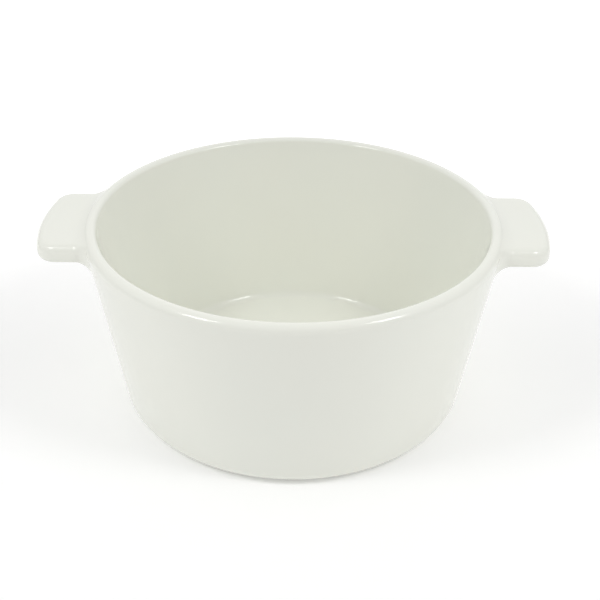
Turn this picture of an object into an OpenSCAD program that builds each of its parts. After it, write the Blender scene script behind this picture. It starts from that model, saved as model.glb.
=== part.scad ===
// Round cooking pot with a flared wall and two flat lug handles. All sizes are in millimetres.
// The origin is the centre of the underside, +Z is up and the handles lie along X.

/* [Pot] */
// Outer diameter at the rim, measured before its edge is rounded
rim_d = 244; // [225:1:270]
// Outer diameter at the bottom, measured before the lower edge is rounded
base_d = 206.6; // [180:0.2:236]
// Height of the pot from the table to the rim
pot_h = 115.5; // [90:0.5:160]
// Thickness of the wall at the rim, measured level
wall_t = 7.7; // [5:0.1:12]
// Thickness of the wall at the floor, measured level
low_wall_t = 13; // [6:0.5:20]
// Thickness of the floor, measured from the table
floor_t = 6; // [4:0.5:16]
// Radius of the rounded lower edge, outside
base_round = 10; // [3:0.5:16]
// Radius of the hollow corner between the floor and the wall, inside
floor_round = 5; // [2:0.5:25]
// Radius of the rim's outer edge
rim_outer_round = 4; // [1:0.1:4.4]
// Radius of the rim's inner edge
rim_inner_round = 2.5; // [0.5:0.1:3]

/* [Foot] */
// Width of the flat ring that the pot stands on
foot_w = 12; // [5:0.5:25]
// Depth of the recess inside the foot ring
foot_recess = 1.2; // [0.4:0.1:3]

/* [Handles] */
// Distance that a handle stands out from the rim
handle_reach = 26; // [20:0.2:40]
// Width of a handle between its straight sides
handle_w = 72; // [56:1:90]
// Thickness of a handle
handle_t = 11; // [9:0.1:16]
// Depth of a handle's top face below the rim
handle_drop = 3.2; // [0.5:0.1:12]
// Radius of the bowed tip, seen from above
tip_r = 120; // [70:1:240]
// Radius of the tip's two corners, seen from above
handle_corner_r = 12; // [8:0.5:18]
// Radius along a handle's upper edge
handle_top_round = 4.4; // [1:0.1:4.8]
// Radius along a handle's lower edge
handle_bottom_round = 3.6; // [1:0.1:4]
// Radius of the hollow corner between a handle's side and the wall
root_round = 7.5; // [3:0.5:14]
// Radius of the hollow corner between a handle's underside and the wall
under_round = 8; // [3:0.5:14]

/* [Hidden] */
$fn = 96;

glaze_white = "#eceee4";

// Overlap between shapes that merge into one solid
lap = 1;
// Narrowest flat that the rounding leaves on top of the rim
rim_flat = 0.4;
// Short flats that stand for each round on a handle
round_steps = 5;
// Depth to which a flare runs into the faces beside it, so that it crosses them at an angle
flare_bite = 0.4;

rim_r = rim_d / 2;
base_r = base_d / 2;

// Outer radius of the wall at a height
function wall_r(z) = base_r + (rim_r - base_r) * z / pot_h;

function unit(v) = v / norm(v);

// Half of the angle at the corner b, between its neighbours a and c
function half_angle(a, b, c) = acos(unit(a - b) * unit(c - b)) / 2;

// Distance from the corner b to the points where a round of radius r meets its sides
function corner_reach(a, b, c, r) = r / tan(half_angle(a, b, c));

// Centre of a round of radius r that touches both sides of the corner b
function round_centre(a, b, c, r) =
    b + unit(unit(a - b) + unit(c - b)) * r / sin(half_angle(a, b, c));

// A corner that turns left is convex on an outline drawn anticlockwise
function turns_left(a, b, c) = cross(b - a, c - b) > 0;

// Points along a round of radius r that replaces the corner b, from its side a to its side c
function round_points(a, b, c, r) =
    let (
        centre = round_centre(a, b, c, r),
        first = b + unit(a - b) * corner_reach(a, b, c, r) - centre,
        start = atan2(first[1], first[0]),
        turn = (turns_left(a, b, c) ? 1 : -1) * (180 - 2 * half_angle(a, b, c))
    )
    [
        for (i = [0 : round_steps])
            let (angle = start + turn * i / round_steps)
                centre + r * [cos(angle), sin(angle)]
    ];

// Corners of the pot's half section, drawn anticlockwise from the axis
under_centre = [0, foot_recess];
base_corner = [base_r, 0];
rim_outer = [rim_r, pot_h];
rim_inner = [rim_r - wall_t, pot_h];
floor_corner = [wall_r(floor_t) - low_wall_t, floor_t];
floor_centre = [0, floor_t];

// The rim's rounds shrink together where the wall is too thin to take them both
rim_reach = corner_reach(base_corner, rim_outer, rim_inner, rim_outer_round)
    + corner_reach(rim_outer, rim_inner, floor_corner, rim_inner_round);
rim_share = min(1, (wall_t - rim_flat) / rim_reach);
rim_outer_r = rim_outer_round * rim_share;
rim_inner_r = rim_inner_round * rim_share;

// The foot ring starts where the rounded lower edge meets the table
foot_outer_r = base_r - corner_reach([0, 0], base_corner, rim_outer, base_round);
foot_inner_r = foot_outer_r - foot_w;
foot_step = [foot_inner_r, 0];
recess_edge = [foot_inner_r - foot_recess, foot_recess];

// Heights of a handle's faces, and the wall's radius under it
handle_top_z = pot_h - handle_drop;
handle_bottom_z = handle_top_z - handle_t;
root_r = wall_r(handle_bottom_z);
handle_half_w = handle_w / 2;

// Centres of the tip's bow and of its corners, seen from above
tip_x = rim_r + handle_reach;
tip_centre_x = tip_x - tip_r;
corner_y = handle_half_w - handle_corner_r;
corner_x = tip_centre_x + sqrt(pow(tip_r - handle_corner_r, 2) - pow(corner_y, 2));
corner_start = atan2(corner_y, corner_x - tip_centre_x);

// Centre of the hollow at a handle's side, which runs into the side and the wall
root_y = handle_half_w + root_round - flare_bite;
root_x = sqrt(pow(root_r - flare_bite + root_round, 2) - pow(root_y, 2));
root_start = 180 + atan2(root_y, root_x);

// Corners of the hollow under a handle: down the wall, at the wall and out along the underside
under_low_z = handle_bottom_z - 2 * under_round;
under_wall = [wall_r(under_low_z) - flare_bite, under_low_z];
under_corner = [root_r - flare_bite, handle_bottom_z];
under_face = [root_r + 2 * under_round, handle_bottom_z];

// Outline whose corners are rounded, each by its own radius
module rounded_outline(points, radii) {
    count = len(points);
    function before(i) = points[(i + count - 1) % count];
    function after(i) = points[(i + 1) % count];
    function reach(i) = corner_reach(before(i), points[i], after(i), radii[i]);
    function clipped(i) = [
        points[i] + unit(before(i) - points[i]) * reach(i),
        points[i] + unit(after(i) - points[i]) * reach(i)
    ];
    function convex(i) = turns_left(before(i), points[i], after(i));
    rounded = [for (i = [0 : count - 1]) if (radii[i] > 0) i];

    function centre(i) = round_centre(before(i), points[i], after(i), radii[i]);

    module corner_round(i) {
        translate(centre(i))
            circle(r = radii[i]);
    }

    // Slice of the round that faces its corner, so that a large round stays out of a thin wall's hollow
    module facing_slice(i) {
        ends = clipped(i);
        intersection() {
            corner_round(i);
            polygon([
                centre(i),
                for (point = [ends[0], points[i], ends[1]]) centre(i) + 3 * (point - centre(i))
            ]);
        }
    }

    difference() {
        union() {
            polygon([for (i = [0 : count - 1]) each radii[i] > 0 ? clipped(i) : [points[i]]]);
            for (i = rounded)
                if (convex(i)) facing_slice(i);
        }
        for (i = rounded)
            if (!convex(i)) corner_round(i);
    }
}

// Half section of the pot
module pot_section() {
    rounded_outline(
        [
            under_centre, recess_edge, foot_step, base_corner,
            rim_outer, rim_inner, floor_corner, floor_centre
        ],
        [0, 0, 0, base_round, rim_outer_r, rim_inner_r, floor_round, 0]
    );
}

// The pot's outer form without its hollow, which the handles are cut back to
module outer_form() {
    rotate_extrude()
        rounded_outline(
            [[0, 0], base_corner, rim_outer, [0, pot_h]],
            [0, base_round, rim_outer_r, 0]
        );
}

// Section of a handle's outer edge, from an inner to an outer distance
module edge_section(inner, outer) {
    inner_low = [inner, handle_bottom_z];
    outer_low = [outer, handle_bottom_z];
    outer_high = [outer, handle_top_z];
    inner_high = [inner, handle_top_z];
    polygon(concat(
        [inner_low],
        round_points(inner_low, outer_low, outer_high, handle_bottom_round),
        round_points(outer_low, outer_high, inner_high, handle_top_round),
        [inner_high]
    ));
}

// Straight part of a handle, between its parallel sides
module handle_bar() {
    start_x = root_x - 2 * root_round;
    translate([start_x, 0, 0])
        rotate([90, 0, 90])
            linear_extrude(height = corner_x - start_x)
                for (side = [0, 1])
                    mirror([side, 0])
                        edge_section(-lap, handle_half_w);
}

// Bowed tip of a handle, with a rounded corner at each end
module handle_tip() {
    translate([tip_centre_x, 0, 0])
        rotate([0, 0, -corner_start])
            rotate_extrude(angle = 2 * corner_start)
                edge_section(0, tip_r);
    for (side = [0, 1])
        mirror([0, side, 0])
            translate([corner_x, corner_y, 0])
                rotate([0, 0, corner_start])
                    rotate_extrude(angle = 90 - corner_start)
                        edge_section(0, handle_corner_r);
}

// Hollow corners that spread a handle's sides into the wall
module root_flares() {
    for (side = [0, 1])
        mirror([0, side, 0])
            translate([root_x, root_y, 0])
                rotate([0, 0, root_start])
                    rotate_extrude(angle = 270 - root_start)
                        mirror([1, 0])
                            edge_section(-2 * root_round, -root_round);
}

// Hollow corner that spreads a handle's underside into the wall
module under_flare() {
    half_w = handle_half_w - handle_bottom_round;
    intersection() {
        rotate([0, 0, -90])
            rotate_extrude(angle = 180)
                polygon(concat(
                    round_points(under_wall, under_corner, under_face, under_round),
                    [under_face + [0, lap], under_corner + [-lap, lap], under_wall - [lap, 0]]
                ));
        translate([0, -half_w, under_low_z])
            cube([tip_x, 2 * half_w, handle_bottom_z + lap - under_low_z]);
    }
}

// One lug, cut back to the wall so that it meets the pot face to face
module handle() {
    difference() {
        union() {
            handle_bar();
            handle_tip();
            root_flares();
            under_flare();
        }
        outer_form();
    }
}

module pot_body() {
    color(glaze_white)
        rotate_extrude()
            pot_section();
}

module left_handle() {
    color(glaze_white)
        mirror([1, 0, 0])
            handle();
}

module right_handle() {
    color(glaze_white)
        handle();
}

pot_body();
left_handle();
right_handle();
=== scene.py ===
"""Dresses a round ceramic cooking pot with two lug handles, and sets it on a pale studio floor."""

import math

import bpy
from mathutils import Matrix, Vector


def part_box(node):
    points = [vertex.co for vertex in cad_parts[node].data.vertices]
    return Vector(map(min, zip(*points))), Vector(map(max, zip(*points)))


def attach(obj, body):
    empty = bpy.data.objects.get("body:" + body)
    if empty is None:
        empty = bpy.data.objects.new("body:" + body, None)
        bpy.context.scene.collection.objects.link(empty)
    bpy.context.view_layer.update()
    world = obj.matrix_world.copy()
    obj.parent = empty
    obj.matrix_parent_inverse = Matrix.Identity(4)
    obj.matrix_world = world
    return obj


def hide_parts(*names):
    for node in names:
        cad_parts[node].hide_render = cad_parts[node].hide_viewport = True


bl_info = {
    "name": "Round Cooking Pot",
    "version": (1, 0, 0),
    "blender": (4, 5, 0),
    "location": "3D View > Sidebar > Pot",
    "description": "Models a glazed ceramic pot with two lug handles and its studio stage",
    "category": "Add Mesh",
}

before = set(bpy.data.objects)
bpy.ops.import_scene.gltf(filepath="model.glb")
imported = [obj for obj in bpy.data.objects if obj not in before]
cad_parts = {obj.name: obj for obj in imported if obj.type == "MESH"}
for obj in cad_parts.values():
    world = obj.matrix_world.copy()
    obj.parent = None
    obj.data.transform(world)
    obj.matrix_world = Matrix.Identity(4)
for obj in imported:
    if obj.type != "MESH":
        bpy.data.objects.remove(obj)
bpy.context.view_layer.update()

# Places taken from the construction model, in metres
POT_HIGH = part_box("pot_body")[1]
HANDLE_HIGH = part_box("right_handle")[1]

MM = 0.001
BODY = "root"
SENSOR_MM = 36

# Points this close together count as being at one place
NEAR = 0.01 * MM
# Points this close together are merged
DOUBLED = 0.002 * MM

# Faces that meet at less than this angle are shaded as one smooth surface
SMOOTH_ANGLE = math.radians(40)

# Profile that makes a bevel a round
CIRCULAR = 0.5


def length(name, description, default):
    """A size in metres that the sidebar shows with its unit."""
    return bpy.props.FloatProperty(
        name=name, description=description, default=default, unit="LENGTH", precision=5
    )


def colour(name, description, default):
    """A colour that the sidebar shows as a swatch."""
    return bpy.props.FloatVectorProperty(
        name=name, description=description, default=default, subtype="COLOR", size=3, min=0.0, max=1.0
    )


def degrees(name, description, default):
    """An angle that is given here and shown in the sidebar in degrees."""
    return bpy.props.FloatProperty(
        name=name, description=description, default=math.radians(default), subtype="ANGLE", unit="ROTATION"
    )


def number(name, description, default, unit="NONE"):
    """A number, with its unit where one fits."""
    return bpy.props.FloatProperty(name=name, description=description, default=default, unit=unit)


def share(name, description, default):
    """A number from 0 to 1 that the sidebar shows as a slider."""
    return bpy.props.FloatProperty(
        name=name, description=description, default=default, subtype="FACTOR", min=0.0, max=1.0
    )


class PotSizes(bpy.types.PropertyGroup):
    """Sizes of the bowl"""

    height: length("Height", "From the table to the rim", POT_HIGH.z)
    rim_radius: length("Rim radius", "Outer radius at the rim, before its edge is rounded", 122 * MM)
    base_radius: length("Base radius", "Outer radius at the bottom, before its edge is rounded", 103.3 * MM)
    wall: length("Wall", "Thickness of the wall at the rim, measured level", 7.7 * MM)
    low_wall: length("Low wall", "Thickness of the wall at the floor, measured level", 13 * MM)
    floor: length("Floor", "Thickness of the floor, from the table", 6 * MM)
    base_round: length("Base round", "Radius of the rounded lower edge", 10 * MM)
    floor_round: length("Floor round", "Radius of the hollow between floor and wall", 5 * MM)
    rim_outer_round: length("Rim outer round", "Radius of the rim's outer edge", 4 * MM)
    rim_inner_round: length("Rim inner round", "Radius of the rim's inner edge", 2.5 * MM)
    foot_width: length("Foot width", "Width of the ring that the pot stands on", 12 * MM)
    foot_recess: length("Foot recess", "Depth of the recess inside the foot ring", 1.2 * MM)


class HandleSizes(bpy.types.PropertyGroup):
    """Sizes of a lug handle"""

    width: length("Width", "Between the straight sides", 72 * MM)
    thickness: length("Thickness", "From the underside to the top", 11 * MM)
    drop: length("Drop", "Depth of the top below the rim", 3.2 * MM)
    tip: length("Tip", "Distance of the tip from the pot's axis", HANDLE_HIGH.x)
    tip_radius: length("Tip radius", "Radius of the bowed tip, seen from above", 120 * MM)
    corner_radius: length("Corner radius", "Radius of the tip's corners, seen from above", 12 * MM)
    top_round: length("Top round", "Radius along the upper edge", 4.4 * MM)
    bottom_round: length("Bottom round", "Radius along the lower edge", 3.6 * MM)
    side_flare: length("Side flare", "Radius of the hollow between the sides and the wall", 7.5 * MM)
    under_flare: length("Under flare", "Radius of the hollow between the underside and the wall", 8 * MM)
    top_flare: length("Top flare", "Width of the shallow hollow between the top and the rim", 10 * MM)
    top_rise: length("Top rise", "Height to which that hollow climbs the rim", 2.6 * MM)
    embed: length("Embed", "Depth to which the lug is pressed into the wall", 3 * MM)


class GlazeLook(bpy.types.PropertyGroup):
    """Colours of the finish"""

    glaze: colour("Glaze", "Main colour of the glaze", (0.888, 0.902, 0.832))
    thin: colour("Thin glaze", "Colour where the glaze has run thin", (0.90, 0.898, 0.82))
    clay: colour("Clay", "Bare fired clay of the foot ring", (0.66, 0.61, 0.53))
    roughness: share("Roughness", "Roughness of the glaze", 0.1)


class StageLook(bpy.types.PropertyGroup):
    """Floor, light and camera"""

    floor: colour("Floor", "Colour of the floor", (0.96, 0.96, 0.96))
    floor_glow: number("Floor glow", "Light that the lit table gives off under the pot", 0.14)
    far_glow: number("Far glow", "Light that the table gives off behind the pot", 0.55)
    sky: number("Sky", "Strength of the even light all round", 0.32)
    backdrop: number("Backdrop", "Strength of the low, broad light behind the pot", 0.79)
    sides: number("Sides", "Strength of the broad lights on the left and the right", 0.585)
    softbox: number("Softbox power", "Power of each softbox beside the camera", 1.1, unit="POWER")
    lens: number("Lens", "Focal length on a 36 mm sensor", 61.4, unit="CAMERA")
    tilt: degrees("Tilt", "Camera's angle below level", 31.46)
    roll: degrees("Roll", "Camera's roll", 0.6)


class Signal:
    """One output socket in a tree of nodes. Arithmetic on it adds Math nodes to the tree."""

    def __init__(self, tree, socket=None):
        self.tree = tree
        self.socket = socket

    def add(self, node_type, settings=None, inputs=None, output=0):
        """Adds a node: its settings are set first, then its inputs take numbers, colours or signals."""
        node = self.tree.nodes.new(node_type)
        for name, value in (settings or {}).items():
            setattr(node, name, value)
        for name, value in (inputs or {}).items():
            if isinstance(value, Signal):
                self.tree.links.new(value.socket, node.inputs[name])
            else:
                node.inputs[name].default_value = value
        return Signal(self.tree, node.outputs[output])

    def math(self, operation, first, second):
        """Adds a Math node, whose two inputs are numbers or signals."""
        return self.add("ShaderNodeMath", {"operation": operation}, {0: first, 1: second})

    def __add__(self, other):
        return self.math("ADD", self, other)

    def __radd__(self, other):
        return self.math("ADD", other, self)

    def __sub__(self, other):
        return self.math("SUBTRACT", self, other)

    def __rsub__(self, other):
        return self.math("SUBTRACT", other, self)

    def __mul__(self, other):
        return self.math("MULTIPLY", self, other)

    def __rmul__(self, other):
        return self.math("MULTIPLY", other, self)

    def __pow__(self, other):
        return self.math("POWER", self, other)

    def __rpow__(self, other):
        return self.math("POWER", other, self)


def new_material(name):
    """A material with its shader node, and a signal to build its tree from."""
    material = bpy.data.materials.new(name)
    material.use_nodes = True
    tree = material.node_tree
    shader = tree.nodes["Principled BSDF"]
    return material, shader, Signal(tree)


def fade(graph, value, start, end, curve="LINEAR"):
    """Carries a value over from one pair of limits to another, and holds it at the ends."""
    limits = {"From Min": start[0], "From Max": start[1], "To Min": end[0], "To Max": end[1]}
    return graph.add("ShaderNodeMapRange", {"interpolation_type": curve}, {"Value": value, **limits})


def noise(graph, place, size, detail, low, high):
    """Cloudy noise with patches of a size in metres, spread between two values."""
    cloud = graph.add(
        "ShaderNodeTexNoise",
        inputs={"Vector": place, "Scale": 1.0 / size, "Detail": detail, "Roughness": 0.55},
    )
    usual_range = (0.3, 0.7)
    return fade(graph, cloud, usual_range, (low, high))


def blend_colours(graph, factor, first, second):
    """Mixes two colours, each a tuple or a signal."""
    def full(value):
        return value if isinstance(value, Signal) else (*value, 1.0)

    return graph.add(
        "ShaderNodeMix",
        {"data_type": "RGBA"},
        {0: factor, 6: full(first), 7: full(second)},
        output=2,
    )


def glaze_material(name, look):
    """Glossy white glaze, thin and warm in patches, with bare clay where the foot stands on the table."""
    glaze_low_edge = (0.4 * MM, 0.7 * MM)
    speckle_strength = 0.35
    clay_roughness = 0.85
    clay_grain_height = 0.08 * MM

    material, shader, graph = new_material(name)
    place = graph.add("ShaderNodeTexCoord", output="Object")
    height = graph.add("ShaderNodeSeparateXYZ", inputs={0: place}, output="Z")

    drift = noise(graph, place, size=70 * MM, detail=3.0, low=0.0, high=0.5)
    glazed = blend_colours(graph, drift, look.glaze, look.thin)

    wander = noise(graph, place, size=6 * MM, detail=2.0, low=-0.25 * MM, high=0.25 * MM)
    bare = fade(graph, height + wander, glaze_low_edge, (1.0, 0.0))
    grain = noise(graph, place, size=1.2 * MM, detail=4.0, low=0.0, high=1.0)
    clay = blend_colours(graph, grain * speckle_strength, look.clay, look.thin)
    colour_out = blend_colours(graph, bare, glazed, clay)

    sheen = noise(graph, place, size=25 * MM, detail=2.0, low=-0.03, high=0.03) + look.roughness
    rough = sheen * (1 - bare) + bare * clay_roughness

    ripple = noise(graph, place, size=22 * MM, detail=1.0, low=0.0, high=0.05 * MM)
    peel = noise(graph, place, size=2.5 * MM, detail=1.0, low=0.0, high=0.0025 * MM)
    relief = (ripple + peel) * (1 - bare) + grain * bare * clay_grain_height
    bump = graph.add("ShaderNodeBump", inputs={"Strength": 1.0, "Distance": 1.0, "Height": relief})

    links = material.node_tree.links
    links.new(colour_out.socket, shader.inputs["Base Color"])
    links.new(rough.socket, shader.inputs["Roughness"])
    links.new(bump.socket, shader.inputs["Normal"])
    shader.inputs["IOR"].default_value = 1.5
    return material


def floor_material(name, look):
    """Pale matt table, lit from below as a light table is, and brightest behind the pot."""
    darkest_share = 0.985
    glow_rise = (0.0, 0.45)

    material, shader, graph = new_material(name)
    place = graph.add("ShaderNodeTexCoord", output="Object")
    cloud = noise(graph, place, size=0.4, detail=2.0, low=0.0, high=1.0)
    shade = tuple(darkest_share * part for part in look.floor)
    surface = blend_colours(graph, cloud, look.floor, shade)
    behind = graph.add("ShaderNodeSeparateXYZ", inputs={0: place}, output="Y")
    far = fade(graph, behind, glow_rise, (0.0, 1.0), curve="SMOOTHSTEP")
    glow = blend_colours(graph, far, (look.floor_glow,) * 3, (look.far_glow,) * 3)
    links = material.node_tree.links
    links.new(surface.socket, shader.inputs["Base Color"])
    links.new(glow.socket, shader.inputs["Emission Color"])
    shader.inputs["Emission Strength"].default_value = 1.0
    shader.inputs["Roughness"].default_value = 0.9
    shader.inputs["Specular IOR Level"].default_value = 0.1
    return material


def deselect_objects():
    """Leaves object mode with nothing selected."""
    if bpy.context.mode != "OBJECT":
        bpy.ops.object.mode_set(mode="OBJECT")
    bpy.ops.object.select_all(action="DESELECT")


def name_active(name):
    """Names the object that an operator has just made."""
    piece = bpy.context.active_object
    piece.name = name
    piece.data.name = name
    return piece


def select_edges(piece, wanted):
    """In edit mode, selects the edges whose two ends pass a test, and counts them."""
    bpy.ops.mesh.select_mode(type="EDGE")
    bpy.ops.mesh.select_all(action="DESELECT")
    bpy.ops.object.mode_set(mode="OBJECT")
    points = piece.data.vertices
    count = 0
    for edge in piece.data.edges:
        first, second = (points[i].co for i in edge.vertices)
        edge.select = wanted(first, second)
        count += edge.select
    bpy.ops.object.mode_set(mode="EDIT")
    return count


def select_point(piece, place):
    """In edit mode, selects the one vertex at a place."""
    bpy.ops.mesh.select_mode(type="VERT")
    bpy.ops.mesh.select_all(action="DESELECT")
    bpy.ops.object.mode_set(mode="OBJECT")
    nearest = min(piece.data.vertices, key=lambda point: (point.co - place).length)
    nearest.select = True
    bpy.ops.object.mode_set(mode="EDIT")


def close_mesh():
    """In edit mode, merges doubled points and turns all faces outwards."""
    bpy.ops.mesh.select_all(action="SELECT")
    bpy.ops.mesh.remove_doubles(threshold=DOUBLED)
    bpy.ops.mesh.normals_make_consistent(inside=False)
    bpy.ops.object.mode_set(mode="OBJECT")


def outline_face(name, points):
    """Adds a filled circle, moves its points to the given corners and leaves it in edit mode."""
    deselect_objects()
    bpy.ops.mesh.primitive_circle_add(vertices=len(points), radius=POT_HIGH.x, fill_type="NGON")
    piece = name_active(name)
    for corner, place in zip(piece.data.vertices, points):
        corner.co = place
    bpy.ops.object.mode_set(mode="EDIT")
    return piece


def dress(piece, material, slot, *nodes):
    """Gives a finished piece its material and body, in place of its construction solids; the slot it is
    given is not used.
    """
    piece.data.materials.clear()
    piece.data.materials.append(material)
    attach(piece, BODY)
    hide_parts(*nodes)


def corner_reach(before, corner, after, radius):
    """Distance along both sides of a corner at which a round of this radius starts."""
    angle = (before - corner).angle(after - corner)
    return radius / math.tan(angle / 2)


class MESH_OT_pot_body(bpy.types.Operator):
    """Spins the bowl from its half section"""

    bl_idname = "mesh.pot_body"
    bl_label = "Pot body"

    SPIN_STEPS = 192
    ROUND_STEPS = 10
    LONGEST_EDGE = 9 * MM
    # Distance over which the recess's edge slopes down to the foot ring, in depths of the recess
    RECESS_RUN = 2

    def section(self, pot):
        """Corners of the half section and the radius of each, from the axis and round the outside."""
        flare = (pot.rim_radius - pot.base_radius) / pot.height
        base = Vector((pot.base_radius, 0, 0))
        rim = Vector((pot.rim_radius, 0, pot.height))
        foot_outer = pot.base_radius - corner_reach(Vector(), base, rim, pot.base_round)
        foot_inner = foot_outer - pot.foot_width
        recess_edge = foot_inner - self.RECESS_RUN * pot.foot_recess
        floor_edge = pot.base_radius + flare * pot.floor - pot.low_wall
        return [
            (Vector((0, 0, pot.foot_recess)), 0),
            (Vector((recess_edge, 0, pot.foot_recess)), pot.foot_recess),
            (Vector((foot_inner, 0, 0)), pot.foot_recess),
            (base, pot.base_round),
            (rim, pot.rim_outer_round),
            (rim - Vector((pot.wall, 0, 0)), pot.rim_inner_round),
            (Vector((floor_edge, 0, pot.floor)), pot.floor_round),
            (Vector((0, 0, pot.floor)), 0),
        ]

    def round_corners(self, piece, corners):
        """Bevels each corner of the section to its own radius."""
        places = [place for place, _ in corners]
        for i, (place, radius) in enumerate(corners):
            if radius == 0:
                continue
            reach = corner_reach(places[i - 1], place, places[(i + 1) % len(places)], radius)
            select_point(piece, place)
            bpy.ops.mesh.bevel(
                affect="VERTICES",
                offset_type="OFFSET",
                offset=reach,
                segments=self.ROUND_STEPS,
                profile=CIRCULAR,
            )

    def open_section(self, piece):
        """Leaves only the section's outline, open along the axis and cut into short edges."""
        bpy.ops.mesh.select_all(action="SELECT")
        bpy.ops.mesh.delete(type="ONLY_FACE")
        select_edges(piece, lambda a, b: max(a.x, b.x) < NEAR)
        bpy.ops.mesh.delete(type="EDGE")
        while select_edges(piece, lambda a, b: (a - b).length > self.LONGEST_EDGE):
            bpy.ops.mesh.subdivide(number_cuts=1)

    def execute(self, context):
        pot = context.scene.pot_sizes
        corners = self.section(pot)
        piece = outline_face("glazed_bowl", [place for place, _ in corners])
        self.round_corners(piece, corners)
        self.open_section(piece)
        bpy.ops.mesh.select_all(action="SELECT")
        bpy.ops.mesh.spin(steps=self.SPIN_STEPS, angle=math.tau, center=(0, 0, 0), axis=(0, 0, 1))
        close_mesh()
        bpy.ops.object.shade_smooth_by_angle(angle=SMOOTH_ANGLE)
        material = glaze_material("bowl_glaze", context.scene.glaze_look)
        dress(piece, material, "body_glaze", "pot_body")
        return {"FINISHED"}


class Wall:
    """The bowl's outer face, which the handles grow out of."""

    def __init__(self, pot):
        self.pot = pot
        self.slope = (pot.rim_radius - pot.base_radius) / pot.height
        lean = math.atan(self.slope)
        self.round = pot.rim_outer_round
        self.round_z = pot.height - self.round
        reach = self.round / math.tan((math.pi / 2 - lean) / 2)
        self.round_x = pot.rim_radius - reach
        self.round_start = self.round_z - self.round * math.sin(lean)

    def radius(self, z):
        """Outer radius at a height, along the wall and then round the rim's edge."""
        if z <= self.round_start:
            return self.pot.base_radius + self.slope * z
        rise = min(z - self.round_z, self.round)
        return self.round_x + math.sqrt(self.round**2 - rise**2)

    def front(self, y, z):
        """Distance of the wall's face from the axis plane, along X."""
        return math.sqrt(self.radius(z) ** 2 - y**2)


def hollow(distance, radius):
    """How far a hollow corner has spread sideways at a distance from the wall."""
    if distance >= radius:
        return 0.0
    if distance <= 0:
        return radius
    return radius - math.sqrt(radius**2 - (radius - distance) ** 2)


def ease(part):
    """Goes from 0 to 1 as the part does, without a corner at either end."""
    part = max(0.0, min(1.0, part))
    return part * part * (3 - 2 * part)


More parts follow.
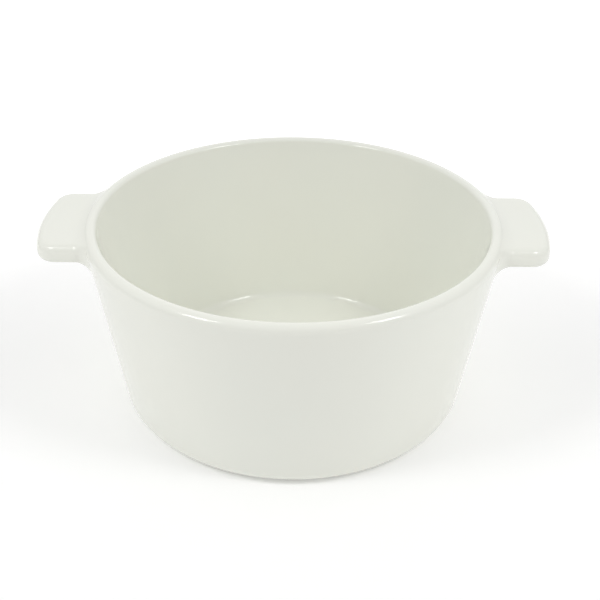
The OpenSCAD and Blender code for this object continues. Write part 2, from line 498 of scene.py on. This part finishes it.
class MESH_OT_pot_handles(bpy.types.Operator):
    """Models one lug, spreads its root over the wall and mirrors it to the other side"""

    bl_idname = "mesh.pot_handles"
    bl_label = "Lug handles"

    CORNER_STEPS = 9
    TIP_STEPS = 18
    ROUND_STEPS = 7
    # Places round a hollow corner where the root is cut into rows, in degrees
    FLARE_ANGLES = (0, 9, 18, 27, 36, 45, 53, 60, 67, 73, 78, 82, 85, 88, 90)
    ROW_SPACING = 3.5 * MM
    # Depth to which the hollow corners dip into the wall, so that no gap shows along their edge
    SINK = 0.06 * MM
    # Distance over which the lug loses the wall's lean, in radii of the hollow at its sides
    SETTLE = 1.5

    def plan(self, lug):
        """Outline of the lug's corners and tip from above, from its near side to its far side."""
        half = lug.width / 2
        centre_x = lug.tip - lug.tip_radius
        corner_y = half - lug.corner_radius
        corner_x = centre_x + math.sqrt((lug.tip_radius - lug.corner_radius) ** 2 - corner_y**2)
        start = math.atan2(corner_y, corner_x - centre_x)
        outline = []
        for i in range(self.CORNER_STEPS):
            angle = -math.pi / 2 + (math.pi / 2 - start) * i / self.CORNER_STEPS
            outline.append((
                corner_x + lug.corner_radius * math.cos(angle),
                -corner_y + lug.corner_radius * math.sin(angle),
            ))
        for i in range(self.TIP_STEPS + 1):
            angle = start * (2 * i / self.TIP_STEPS - 1)
            outline.append((
                centre_x + lug.tip_radius * math.cos(angle),
                lug.tip_radius * math.sin(angle),
            ))
        for x, y in reversed(outline[:self.CORNER_STEPS]):
            outline.append((x, -y))
        return outline

    def tab(self, lug, wall, top, bottom):
        """A flat tab with rounded edges, whose X is the distance from the wall."""
        half = lug.width / 2
        points = [Vector((-lug.embed, half, top)), Vector((-lug.embed, -half, top))]
        for x, y in self.plan(lug):
            points.append(Vector((x - wall.front(y, bottom), y, top)))
        piece = outline_face("right_lug", points)
        bpy.ops.mesh.select_all(action="SELECT")
        bpy.ops.mesh.extrude_region_move(TRANSFORM_OT_translate={"value": (0, 0, bottom - top)})
        root = -lug.embed + NEAR
        for level, radius in ((top, lug.top_round), (bottom, lug.bottom_round)):
            select_edges(
                piece,
                lambda a, b: max(abs(a.z - level), abs(b.z - level)) < NEAR and max(a.x, b.x) > root,
            )
            bpy.ops.mesh.bevel(
                affect="EDGES",
                offset_type="OFFSET",
                offset=radius,
                segments=self.ROUND_STEPS,
                profile=CIRCULAR,
            )
        return piece

    def cut_rows(self, lug):
        """Cuts the tab into rows, close together where the root spreads."""
        cuts = []
        spread = max(lug.side_flare, lug.under_flare)
        for angle in self.FLARE_ANGLES:
            distance = spread * (1 - math.sin(math.radians(angle)))
            cuts.append(((distance, 0, 0), (1, 0, 0)))
        reach = lug.width / 2 - lug.top_round
        count = math.ceil(2 * reach / self.ROW_SPACING)
        for i in range(count + 1):
            cuts.append(((0, reach * (2 * i / count - 1), 0), (0, 1, 0)))
        for place, normal in cuts:
            bpy.ops.mesh.select_all(action="SELECT")
            bpy.ops.mesh.bisect(plane_co=place, plane_no=normal)
        close_mesh()

    def flare(self, lug, place, top, bottom):
        """Where the spreading root takes a point of the tab, across and up."""
        distance, y, z = place
        upper = z > (top + bottom) / 2
        edge = lug.top_round if upper else lug.bottom_round
        inner = lug.width / 2 - edge
        core_y = max(-inner, min(inner, y))
        core_z = max(bottom + edge, min(top - edge, z))
        away = Vector((y - core_y, z - core_z)).normalized()
        reach = distance + self.SINK
        if upper:
            spread = hollow(reach, lug.side_flare) * core_y / inner
            climb = hollow(reach, lug.top_flare) * lug.top_rise / lug.top_flare
            return y + spread, z + climb * away.y
        downward = away.y**2
        spread = hollow(reach, lug.side_flare * (1 - downward) + lug.under_flare * downward)
        return y + spread * away.x, z + spread * away.y

    def spread_root(self, piece, lug, wall, top, bottom):
        """Spreads the tab's root into hollow corners and wraps it round the wall."""
        for point in piece.data.vertices:
            distance = point.co.x
            y, z = self.flare(lug, point.co, top, bottom)
            settled = ease(distance / (self.SETTLE * lug.side_flare))
            front = wall.front(y, z) * (1 - settled) + wall.front(y, bottom) * settled
            point.co = (distance + front, y, z)

    def execute(self, context):
        scene = context.scene
        lug = scene.handle_sizes
        wall = Wall(scene.pot_sizes)
        top = scene.pot_sizes.height - lug.drop
        bottom = top - lug.thickness
        right = self.tab(lug, wall, top, bottom)
        self.cut_rows(lug)
        self.spread_root(right, lug, wall, top, bottom)
        bpy.ops.object.shade_smooth_by_angle(angle=SMOOTH_ANGLE)

        bpy.ops.object.duplicate(linked=False)
        left = name_active("left_lug")
        left.scale.x = -1
        bpy.ops.object.transform_apply(location=False, rotation=False, scale=True)
        bpy.ops.object.mode_set(mode="EDIT")
        close_mesh()

        material = glaze_material("lug_glaze", scene.glaze_look)
        dress(right, material, "handle_glaze", "right_handle")
        dress(left, material, "handle_glaze", "left_handle")
        return {"FINISHED"}


class SCENE_OT_pot_stage(bpy.types.Operator):
    """Makes the floor, the light and the camera"""

    bl_idname = "scene.pot_stage"
    bl_label = "Studio stage"

    FLOOR_SIZE = 8.0
    CAMERA_PLACE = Vector((0.0040, -0.5345, 0.3847))
    SOFTBOX_PLACE = Vector((0.43, -0.30, 0.64))
    SOFTBOX_SIZE = (0.18, 0.2)
    SOFTBOX_AIM = Vector((0.0, 0.0, 0.08))
    BACKDROP_WAY = Vector((0, 1, 0.18))
    SIDE_WAYS = (Vector((-1, 0, 0.8)), Vector((1, 0, 0.8)))
    # A higher power draws each broad light closer to its middle
    FALLOFF_POWER = 4
    NEAREST_SEEN = 0.01

    def lay_floor(self, look):
        """Lays the table that the pot stands on."""
        deselect_objects()
        bpy.ops.mesh.primitive_plane_add(size=self.FLOOR_SIZE)
        floor = name_active("studio_floor")
        floor.data.materials.append(floor_material("pale_floor", look))

    def hang_softboxes(self, look):
        """Hangs two small softboxes, left and right of the camera."""
        for name, side in (("softbox_left", -1), ("softbox_right", 1)):
            place = self.SOFTBOX_PLACE.copy()
            place.x *= side
            turn = (self.SOFTBOX_AIM - place).to_track_quat("-Z", "Y").to_euler()
            deselect_objects()
            bpy.ops.object.light_add(type="AREA", location=place, rotation=turn)
            light = name_active(name).data
            light.shape = "RECTANGLE"
            light.size, light.size_y = self.SOFTBOX_SIZE
            light.energy = look.softbox

    def fill_light(self, scene, look):
        """Lights the pot from all round, most from behind and the sides. The camera sees plain white."""
        world = bpy.data.worlds.new("studio_surround")
        world.use_nodes = True
        surround = world.node_tree.nodes["Background"]
        surround.inputs["Color"].default_value = (1.0, 1.0, 1.0, 1.0)
        graph = Signal(world.node_tree)
        way = graph.add("ShaderNodeTexCoord", output="Generated")
        light = look.sky
        broad_lights = [(self.BACKDROP_WAY, look.backdrop)]
        broad_lights += [(side, look.sides) for side in self.SIDE_WAYS]
        for middle, strength in broad_lights:
            toward = graph.add(
                "ShaderNodeVectorMath",
                {"operation": "DOT_PRODUCT"},
                {0: way, 1: middle.normalized()},
                output="Value",
            )
            light = graph.math("MAXIMUM", toward, 0.0) ** self.FALLOFF_POWER * strength + light
        seen = graph.add("ShaderNodeLightPath", output="Is Camera Ray")
        shown = light * (1 - seen) + seen
        world.node_tree.links.new(shown.socket, surround.inputs["Strength"])
        scene.world = world
        scene.view_settings.view_transform = "Standard"

    def set_camera(self, scene, look):
        """Sets the camera in front of the pot, tilted down and slightly rolled."""
        deselect_objects()
        bpy.ops.object.camera_add(location=self.CAMERA_PLACE)
        camera = name_active("photo_camera")
        camera.rotation_mode = "ZYX"
        camera.rotation_euler = (math.pi / 2 - look.tilt, 0, look.roll)
        camera.data.sensor_width = SENSOR_MM
        camera.data.lens = look.lens
        camera.data.clip_start = self.NEAREST_SEEN
        scene.camera = camera

    def execute(self, context):
        look = context.scene.stage_look
        self.lay_floor(look)
        self.hang_softboxes(look)
        self.fill_light(context.scene, look)
        self.set_camera(context.scene, look)
        return {"FINISHED"}


class VIEW3D_PT_cooking_pot(bpy.types.Panel):
    """Lists the pot's operators and sizes"""

    bl_label = "Cooking pot"
    bl_idname = "VIEW3D_PT_cooking_pot"
    bl_space_type = "VIEW_3D"
    bl_region_type = "UI"
    bl_category = "Pot"

    def draw(self, context):
        layout = self.layout
        for operator in (MESH_OT_pot_body, MESH_OT_pot_handles, SCENE_OT_pot_stage):
            layout.operator(operator.bl_idname)
        for group in GROUPS:
            box = layout.box()
            settings = getattr(context.scene, group)
            for name in settings.__annotations__:
                box.prop(settings, name)


GROUPS = {
    "pot_sizes": PotSizes,
    "handle_sizes": HandleSizes,
    "glaze_look": GlazeLook,
    "stage_look": StageLook,
}
CLASSES = (
    *GROUPS.values(),
    MESH_OT_pot_body,
    MESH_OT_pot_handles,
    SCENE_OT_pot_stage,
    VIEW3D_PT_cooking_pot,
)


def register():
    """Makes the classes and their settings known to Blender."""
    for cls in CLASSES:
        bpy.utils.register_class(cls)
    for name, group in GROUPS.items():
        setattr(bpy.types.Scene, name, bpy.props.PointerProperty(type=group))


def unregister():
    """Takes the settings and classes out of Blender again."""
    for name in GROUPS:
        delattr(bpy.types.Scene, name)
    for cls in reversed(CLASSES):
        bpy.utils.unregister_class(cls)


def main():
    """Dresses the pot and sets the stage."""
    register()
    bpy.ops.mesh.pot_body()
    bpy.ops.mesh.pot_handles()
    bpy.ops.scene.pot_stage()


if __name__ == "__main__":
    main()
